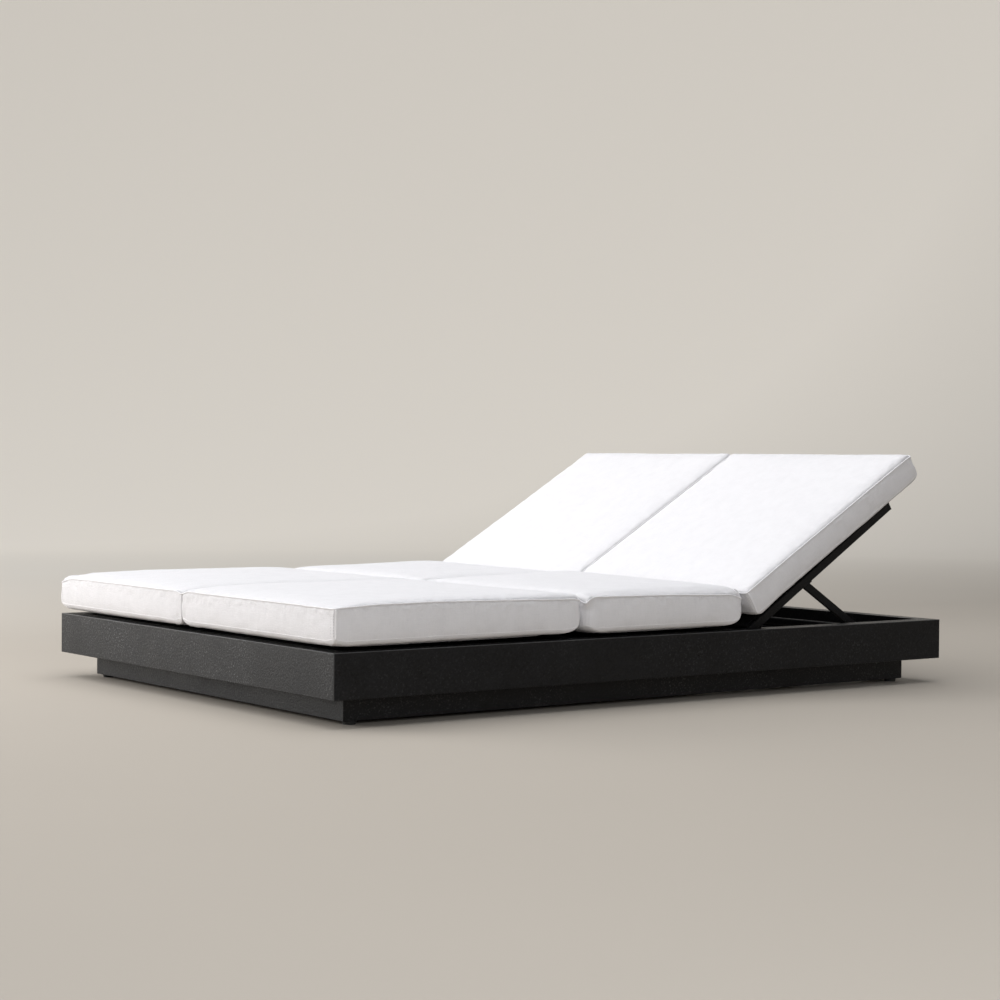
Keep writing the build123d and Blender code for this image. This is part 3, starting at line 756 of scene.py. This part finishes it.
def stitch_row(name, rows, pitch):
    """Rows of stitches: one is modelled and copied along each line of (points, normals)."""
    bpy.ops.object.select_all(action="DESELECT")
    bpy.ops.mesh.primitive_uv_sphere_add(segments=6, ring_count=4, radius=1.0)
    model = bpy.context.active_object
    shape = get_points(model) * np.array(STITCH_RADII)
    corners = [tuple(polygon.vertices) for polygon in model.data.polygons]
    bpy.data.objects.remove(model)
    points, faces = [], []
    for path, normals in rows:
        lengths = path_lengths(path)
        distances = np.arange(pitch, lengths[-1] - STITCH_END_GAP, pitch)
        places, outs = along_path(path, lengths, distances), along_path(normals, lengths, distances)
        ahead = along_path(path, lengths, distances + STITCH_LOOK_AHEAD)
        for place, further, out in zip(places, ahead, outs):
            down = (further - place) / np.linalg.norm(further - place)
            across = np.cross(down, out)
            across /= np.linalg.norm(across)
            face_out = np.cross(across, down)
            start = len(points)
            points.extend(place + face_out * STITCH_STAND_OUT + shape @ np.stack([across, face_out, down]))
            faces.extend([tuple(start + v for v in corner) for corner in corners])
    return mesh_object(name, points, faces)


class Cover:
    """A cushion's cover, sewn, filled and softened, with the rings of its mesh that seams follow."""

    def __init__(self, cushion, fabric):
        points, faces, cloth, nearness, self.levels, self.loop = cushion_mesh(cushion, fabric.grid_step)
        self.cushion, self.fabric = cushion, fabric
        self.mesh = mesh_object(cushion.name + "_cover", points, faces, cloth)
        group = self.mesh.vertex_groups.new(name="seam")
        for i, weight in enumerate(nearness):
            group.add([i], float(weight), "REPLACE")
        if fabric.pressure > 0:
            inflate(self.mesh, fabric, self.levels[0])
        smooth = self.mesh.modifiers.new("smooth", "SUBSURF")
        smooth.levels = smooth.render_levels = 1
        smooth.uv_smooth = "NONE"
        apply_all(self.mesh)
        add_softness(self.mesh, cushion.seed, fabric.pucker)
        layer = self.mesh.data.attributes.new("seam_near", "FLOAT", "POINT")
        layer.data.foreach_set("value", seam_weights(self.mesh).astype(np.float32))
        self.mesh.vertex_groups.clear()
        self.points, self.normals = get_points(self.mesh), get_points(self.mesh, "normal")
        self.last = self.loop.max(axis=0)
        self.places = {tuple(pair): k for k, pair in enumerate(self.loop.tolist())}

    def line(self, index):
        """Points and normals of the cover along a row of its vertices."""
        return self.points[index], self.normals[index]

    def ring_place(self, end, edge, from_end, from_side):
        """The place on the rings that is some mesh lines away from a corner."""
        i = from_end if end == "foot" else int(self.last[0]) - from_end
        j = from_side if self.cushion.is_near(edge) else int(self.last[1]) - from_side
        return self.places[(i, j)]

    def column(self, place, first):
        """Points and normals down the side panel, from one ring to the lower seam's."""
        return self.line([level[place] for level in self.levels[first:LOWER_SEAM_RING + 1]])

    def welts(self):
        """The welt, the felled lower seam and the stitches round the top."""
        name, radius, seed = self.cushion.name, self.fabric.welt_radius, self.cushion.seed
        yield sew_ring(name + "_welt", *self.line(self.levels[0]), radius, radius * 0.8, 0.22, seed), "linen_welt"
        yield sew_ring(name + "_lower_seam", *self.line(self.levels[LOWER_SEAM_RING]), LOWER_SEAM_RADIUS,
                       -LOWER_SEAM_SUNK, 0.3, seed + 20), "linen_welt"
        inner = np.clip(self.loop, 1, self.last - 1)
        row = (inner[:, 0] * (self.last[1] + 1) + inner[:, 1]).tolist()
        row = [place for k, place in enumerate(row) if place != row[k - 1]]
        stitches = stitch_row(name + "_stitches", [self.line([*row, row[0]])], self.fabric.stitch_pitch)
        yield stitches, "sewing_thread"

    def corner_seams(self):
        """The upright seams of the corners, each with its rows of stitches."""
        name = self.cushion.name
        for end, edge in self.cushion.form["corner_seams"]:
            path, normals = self.column(self.ring_place(end, edge, 1, 0), 1)
            lengths = path_lengths(path)
            path = along_path(path, lengths, np.linspace(0, lengths[-1], CORNER_SEAM_POINTS))
            path = path + normals.mean(axis=0) * CORNER_SEAM_STAND_OUT
            radii = np.full(len(path), CORNER_SEAM_RADIUS)
            yield tube_mesh(f"{name}_corner_seam_{end}_{edge}", path, radii, False), "linen_welt"
            rows = [self.column(self.ring_place(end, edge, 0, lines), 2) for lines in CORNER_STITCH_LINES]
            yield stitch_row(f"{name}_stitches_{end}_{edge}", rows, self.fabric.stitch_pitch), "sewing_thread"

    def tucks(self):
        """The small tucks that run from the welt's corners inwards over the top."""
        steps = np.linspace(0, 1, 9)
        for number, (end, edge, drift) in enumerate(self.cushion.form["tucks"]):
            start = self.points[self.levels[0][self.ring_place(end, edge, 0, 0)]]
            inward = (1.0 if end == "foot" else -1.0, 1.0 if self.cushion.is_near(edge) else -1.0, 1.0)
            reach = np.array(drift) * MM * np.array(inward)
            path = start + np.stack([steps, steps, np.sin(steps * math.pi / 2)], axis=-1) * reach
            radii = self.fabric.welt_radius * (1.25 - 0.75 * steps ** 2)
            yield tube_mesh(f"{self.cushion.name}_tuck_{number + 1}", path, radii, False), "linen_welt"


def build_cushion(cushion, body, fabric):
    """One cushion: its cover, its welt, its lower seam, its corner seams and its tucks."""
    cover = Cover(cushion, fabric)
    trims = [*cover.welts(), *cover.corner_seams(), *cover.tucks()]
    finish_piece(cover.mesh, cushion, body, "linen_cover", cushion.name)
    for trim, material in trims:
        finish_piece(trim, cushion, body, material)


# ---------------------------------------------------------------- operators

# Powder coats: lightness, added roughness, dust, gloss, and wear of the outer edges.
COATS = {"foot_rail": (0.9, 0.0, 1.0, 0.19, 0.9), "frame_coat": (0.85, 0.0, 0.15, 0.17, 0.6),
         "plinth_coat": (0.85, 0.04, 0.4, 0.22, 0.0), "inner_frame_coat": (0.4, 0.4, 0.05, 0.04, 0.0),
         "slat_coat": (0.5, 0.3, 0.08, 0.06, 0.0)}
# Finishes of the material slots that aren't named after their slot.
FINISHES = {"stainless_fasteners": "brushed_steel", "cushion_fabric": "linen_cover"}


def make_finishes(scene):
    """All materials, made once."""
    if "linen_cover" in bpy.data.materials:
        return
    fabric, metal = scene.lounger_fabric, scene.lounger_metal
    for cloth in (linen_cover, linen_welt, sewing_thread):
        cloth(fabric)
    for coat, (lightness, rougher, *others) in COATS.items():
        powder_coat(coat + "_finish", metal, lightness, metal.coat_roughness + rougher, *others)
    brushed_steel()
    moulded("rubber_finish", (0.012, 0.012, 0.012), (0.028, 0.028, 0.027), 0.72, 900.0)
    moulded("nylon_finish", (0.016, 0.016, 0.016), (0.03, 0.03, 0.03), 0.42, 1400.0)


# Nodes of the frame whose long edges show, and how far those edges are rounded.
ROUNDED = {"side_rail": 0.0022, "foot_rail": 0.0022, "head_rail": 0.0022, "plinth": 0.0015, "back_bar_outer": 0.0015,
           "back_bar_inner": 0.0015, "back_low_rail": 0.0012, "back_top_rail": 0.0012}


def round_edges(node):
    """Rounds a tube's long edges as drawn tube has them, by modifiers on the node."""
    width = next((w for key, w in ROUNDED.items() if node.name.startswith(key)), None)
    if width is None:
        return
    weld = node.modifiers.new("weld", "WELD")
    weld.merge_threshold = 0.00002
    edge = node.modifiers.new("edge", "BEVEL")
    edge.width = width
    edge.segments = 2
    edge.limit_method = "ANGLE"
    edge.angle_limit = math.radians(40)
    edge.harden_normals = True


class LOUNGER_OT_finishes(bpy.types.Operator):
    """Gives every node of the frame its finish"""
    bl_idname = "lounger.finishes"
    bl_label = "Finish the frame"

    def execute(self, context):
        make_finishes(context.scene)
        for row in frame["record"]["subparts"]:
            node, slot = frame["nodes"][row["node"]], row["material_slot"]
            # the foot rail is the one that feet brush past, and is dusty
            finish = "foot_rail_finish" if row["node"] == "foot_rail" else FINISHES.get(slot, slot + "_finish")
            material = bpy.data.materials[finish]
            if not node.material_slots:
                node.data.materials.append(material)
            for place in node.material_slots:
                place.material = material
            round_edges(node)
        return {"FINISHED"}


# First seeds of the padding's waves.
FOOT_SEED, SEAT_SEED, BACK_SEED = 1, 4, 7
# Forms of the three kinds of cushion, in millimetres; tables run from the foot end (0) to the head end (1).
FOOT_FORM = {
    "seam": [(0, 107), (0.02, 109), (0.17, 113.5), (0.39, 115), (0.66, 111.5), (0.97, 107), (1, 106)],
    "top": [(0, 110), (0.05, 114), (0.11, 118), (0.35, 122), (0.9, 121), (1, 119)],
    "crown": 4.0,
    "curl": 7.0,
    "lean": {"left": 0.0, "right": 0.0},
    "lift": [(0, 13), (0.3, 13), (1, 16)],
    "edges": {"foot": (24, 12), "head": (13, 12), "outer": (13, 12), "middle": (14, 12)},
    "feet": {"foot": (14, 13), "head": (66, 36), "outer": (13, 12), "middle": (18, 16)},
    "corners": {("foot", "outer"): (6, 8), ("foot", "middle"): (2, 2), ("head", "outer"): (6, 10),
                ("head", "middle"): (6, 8)},
    "dips": {("foot", "middle", "both"): (9, 22, 30), ("head", "outer", "both"): (5, 14, 14),
             ("head", "middle", "both"): (8, 22, 30), ("foot", "outer", "right"): (18, 60, 110, 2.0)},
    "grow": {"left": (4, 1, 5, 13), "right": (7, 1, -10, 13)},
    "corner_seams": [("foot", "outer")],
    "tucks": [("head", "outer", (14, 5, 13)), ("head", "middle", (10, 5, 9))],
}
SEAT_FORM = {
    "seam": [(0, 111), (0.06, 111), (0.32, 109), (0.57, 106.5), (0.71, 104), (0.81, 102), (0.92, 101.5),
             (1, 101.5)],
    "top": [(0, 119), (0.2, 120), (0.6, 122), (0.85, 125), (1, 126)],
    "crown": 10.0,
    "curl": 8.0,
    "lean": {"left": -6.0, "right": 3.0},
    "lift": [(0, 13), (1, 14)],
    "edges": {"foot": (24, 20), "head": (26, 24), "outer": (30, 20), "middle": (18, 16)},
    "feet": {"foot": (40, 20), "head": (66, 34), "outer": (14, 13), "middle": (18, 16)},
    "corners": {("foot", "outer"): (8, 36), ("foot", "middle"): (6, 12), ("head", "outer"): (8, 12),
                ("head", "middle"): (6, 10)},
    "dips": {("foot", "outer", "both"): (22, 16, 60), ("head", "outer", "both"): (15, 36, 120),
             ("foot", "middle", "both"): (14, 22, 34), ("head", "middle", "both"): (16, 34, 50)},
    "grow": {"left": (0, -4, 5, 11), "right": (0, -4, -10, 5)},
    "corner_seams": [],
    "tucks": [("head", "outer", (22, 6, 30)), ("foot", "outer", (8, 6, 8))],
}
BACK_FORM = {
    "seam": [(0, 107), (0.1, 106.5), (0.5, 99.5), (0.9, 92), (1, 89)],
    "top": [(0, 114), (0.1, 114), (0.5, 109), (0.9, 102), (1, 100)],
    "crown": 8.0,
    "curl": 5.0,
    "lean": {"left": 0.0, "right": 0.0},
    "lift": [(0, 22), (0.25, 22), (0.5, 17), (0.7, 14), (1, 11)],
    "edges": {"foot": (16, 14), "head": (15, 14), "outer": (13, 13), "middle": (13, 13)},
    "feet": {"foot": (24, 20), "head": (20, 18), "outer": (12, 11), "middle": (18, 16)},
    "corners": {("foot", "outer"): (7, 8), ("foot", "middle"): (6, 8), ("head", "outer"): (7, 10),
                ("head", "middle"): (5, 6)},
    "dips": {("head", "middle", "both"): (10, 18, 20), ("head", "outer", "both"): (3, 14, 14),
             ("foot", "middle", "both"): (8, 18, 20)},
    "grow": {"left": (-5, 2, 5, 10), "right": (-5, 2, -16, 5)},
    "corner_seams": [("foot", "outer")],
    "tucks": [],
}


def deck_cushions(kind, form, context, first_seed):
    """The left and right cushion of one kind, which lie on the deck at their nodes' places."""
    make_finishes(context.scene)
    for number, side in enumerate(SIDES):
        low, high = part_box(f"{kind}_{side}")
        cushion = Cushion(f"{kind}_{side}", low, (1, 0, 0), (0, 0, 1), high - low, form, side, first_seed + number)
        build_cushion(cushion, "base", context.scene.lounger_fabric)
    return {"FINISHED"}


class LOUNGER_OT_foot_cushions(bpy.types.Operator):
    """Sews the two foot cushions"""
    bl_idname = "lounger.foot_cushions"
    bl_label = "Foot cushions"

    def execute(self, context):
        return deck_cushions("foot_cushion", FOOT_FORM, context, FOOT_SEED)


class LOUNGER_OT_seat_cushions(bpy.types.Operator):
    """Sews the two seat cushions"""
    bl_idname = "lounger.seat_cushions"
    bl_label = "Seat cushions"

    def execute(self, context):
        return deck_cushions("seat_cushion", SEAT_FORM, context, SEAT_SEED)


class LOUNGER_OT_back_cushions(bpy.types.Operator):
    """Sews the two back cushions, which ride up their frames"""
    bl_idname = "lounger.back_cushions"
    bl_label = "Back cushions"

    def execute(self, context):
        make_finishes(context.scene)
        joints = {joint["name"]: joint for joint in frame["joints"]}
        for number, side in enumerate(SIDES):
            along = Vector(joints["cushion_slide_" + side]["axis"]).normalized()
            up = along.cross(Vector((0, 1, 0)))
            pivot = Vector(joints["back_tilt_" + side]["pos_m"])
            node = frame["nodes"]["back_cushion_" + side]
            runs = [(v.co - pivot).dot(along) for v in node.data.vertices]
            rises = [(v.co - pivot).dot(up) for v in node.data.vertices]
            low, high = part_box(node.name)
            origin = pivot + along * min(runs) + up * min(rises)
            origin.y = low.y
            size = (max(runs) - min(runs), high.y - low.y, max(rises) - min(rises))
            cushion = Cushion(node.name, origin, along, up, size, BACK_FORM, side, BACK_SEED + number)
            build_cushion(cushion, "back_cushion_" + side, context.scene.lounger_fabric)
        return {"FINISHED"}


class LOUNGER_OT_stage(bpy.types.Operator):
    """Sets the floor, the lights and the camera"""
    bl_idname = "lounger.stage"
    bl_label = "Floor, light and camera"

    def add_floor(self, stage):
        """A flat floor that sweeps up all round, far behind the lounger and the camera."""
        flat, rim, rise, turns, steps = 9.0, 14.0, 7.0, 96, 12
        profile = [(0.0, 0.0)] + [(flat * share, 0.0) for share in (0.25, 0.5, 0.75, 1.0)]
        for step in range(1, steps + 1):
            angle = 0.5 * math.pi * step / steps
            profile.append((flat + (rim - flat) * math.sin(angle), rise * (1 - math.cos(angle))))
        points = [(0.0, 0.0, 0.0)]
        for radius, height in profile[1:]:
            for turn in range(turns):
                angle = 2 * math.pi * turn / turns
                points.append((radius * math.cos(angle), radius * math.sin(angle), height))
        faces = [[0, 1 + t, 1 + (t + 1) % turns] for t in range(turns)]
        for ring in range(len(profile) - 2):
            a, b = 1 + ring * turns, 1 + (ring + 1) * turns
            faces += [[a + t, b + t, b + (t + 1) % turns, a + (t + 1) % turns] for t in range(turns)]
        floor = mesh_object("studio_floor", points, faces)
        self.floor_finish(stage)
        floor.data.materials.append(bpy.data.materials["pale_floor"])

    def floor_finish(self, stage):
        """A pale floor that turns into a paler, softly lit wall behind the lounger."""
        tree, shader = start_material("pale_floor")
        place = object_place(tree)
        wash = grain(tree, place, 0.6, 4.0, 0.5)
        behind = add_node(tree, "ShaderNodeVectorMath", {"operation": "DOT_PRODUCT"}, n0=place,
                          n1=(0.1, 0.98, 0.1)).outputs["Value"]
        low = tint(tree, wash, scaled(stage.floor_colour, 0.97), scaled(stage.floor_colour, 1.03))
        colour = tint(tree, band(tree, behind, 1.5, 6.0), low, stage.wall_colour)
        dress(tree, shader, {"Base Color": colour, "Roughness": 0.85, "Specular IOR Level": 0.15,
                             "Emission Color": colour,
                             "Emission Strength": band(tree, behind, 2.0, 9.0, 0.0, stage.wall_glow)})

    def add_light(self, name, place, target, size, power, colour=(1, 1, 1)):
        """One soft rectangular light that the camera doesn't see."""
        lamp = bpy.data.lights.new(name, "AREA")
        lamp.shape = "RECTANGLE"
        lamp.size, lamp.size_y = size
        lamp.energy = power
        lamp.color = colour
        made = bpy.data.objects.new(name, lamp)
        made.location = place
        made.rotation_euler = (Vector(target) - Vector(place)).to_track_quat("-Z", "Y").to_euler()
        made.visible_camera = False
        bpy.context.scene.collection.objects.link(made)

    def add_room_light(self, scene):
        """The even light of the room, and plain colour management."""
        world = bpy.data.worlds.new("soft_room")
        world.use_nodes = True
        background = world.node_tree.nodes["Background"]
        background.inputs["Color"].default_value = (0.88, 0.93, 1.0, 1.0)
        background.inputs["Strength"].default_value = 0.35
        scene.world = world
        scene.view_settings.view_transform = "Standard"
        scene.view_settings.look = "None"

    def add_camera(self, scene, stage):
        """The camera at the photograph's place, heading, pitch and roll."""
        lens = bpy.data.cameras.new("camera")
        lens.sensor_width = 36.0
        lens.lens = stage.lens
        lens.shift_x, lens.shift_y = 0.0001, -0.001
        lens.clip_end = 100.0
        camera = bpy.data.objects.new("camera", lens)
        heading, pitch, roll = stage.camera_turn
        camera.matrix_world = (Matrix.Translation(stage.camera_place) @ Matrix.Rotation(-heading, 4, "Z")
                               @ Matrix.Rotation(math.pi / 2 - pitch, 4, "X") @ Matrix.Rotation(roll, 4, "Z"))
        scene.collection.objects.link(camera)
        scene.camera = camera

    def execute(self, context):
        scene, stage = context.scene, context.scene.lounger_stage
        self.add_floor(stage)
        self.add_light("side_light", (-4.6, 3.8, 1.7), (0.0, 0.0, 0.3), (4.5, 3.0), stage.side_light)
        self.add_light("top_light", (-1.5, 0.4, 6.2), (-0.3, 0.0, 0.2), (8.5, 9.0), stage.top_light)
        self.add_light("front_light", (-2.6, -5.4, 1.8), (0.0, 0.0, 0.3), (3.0, 2.0), stage.front_light,
                       (0.92, 0.96, 1.0))
        self.add_room_light(scene)
        self.add_camera(scene, stage)
        return {"FINISHED"}


class LOUNGER_PT_panel(bpy.types.Panel):
    """The lounger's pieces and settings"""
    bl_idname = "LOUNGER_PT_panel"
    bl_label = "Double chaise lounger"
    bl_space_type = "VIEW_3D"
    bl_region_type = "UI"
    bl_category = "Lounger"

    def draw(self, context):
        for group in (context.scene.lounger_fabric, context.scene.lounger_metal, context.scene.lounger_stage):
            box = self.layout.box()
            for key in group.__annotations__:
                box.prop(group, key)
        for operator in STEPS:
            self.layout.operator(operator.bl_idname)


STEPS = (LOUNGER_OT_finishes, LOUNGER_OT_foot_cushions, LOUNGER_OT_seat_cushions, LOUNGER_OT_back_cushions,
         LOUNGER_OT_stage)
GROUPS = {"lounger_fabric": LoungerFabric, "lounger_metal": LoungerMetal, "lounger_stage": LoungerStage}
CLASSES = (*GROUPS.values(), *STEPS, LOUNGER_PT_panel)


def register():
    """Registers the classes and puts the settings on the scene."""
    for item in CLASSES:
        bpy.utils.register_class(item)
    for key, group in GROUPS.items():
        setattr(bpy.types.Scene, key, bpy.props.PointerProperty(type=group))


def unregister():
    """Takes the settings and the classes away again."""
    for key in GROUPS:
        delattr(bpy.types.Scene, key)
    for item in reversed(CLASSES):
        bpy.utils.unregister_class(item)


def main():
    """Runs every step in order."""
    register()
    bpy.ops.lounger.finishes()
    bpy.ops.lounger.foot_cushions()
    bpy.ops.lounger.seat_cushions()
    bpy.ops.lounger.back_cushions()
    bpy.ops.lounger.stage()


if __name__ == "__main__":
    main()
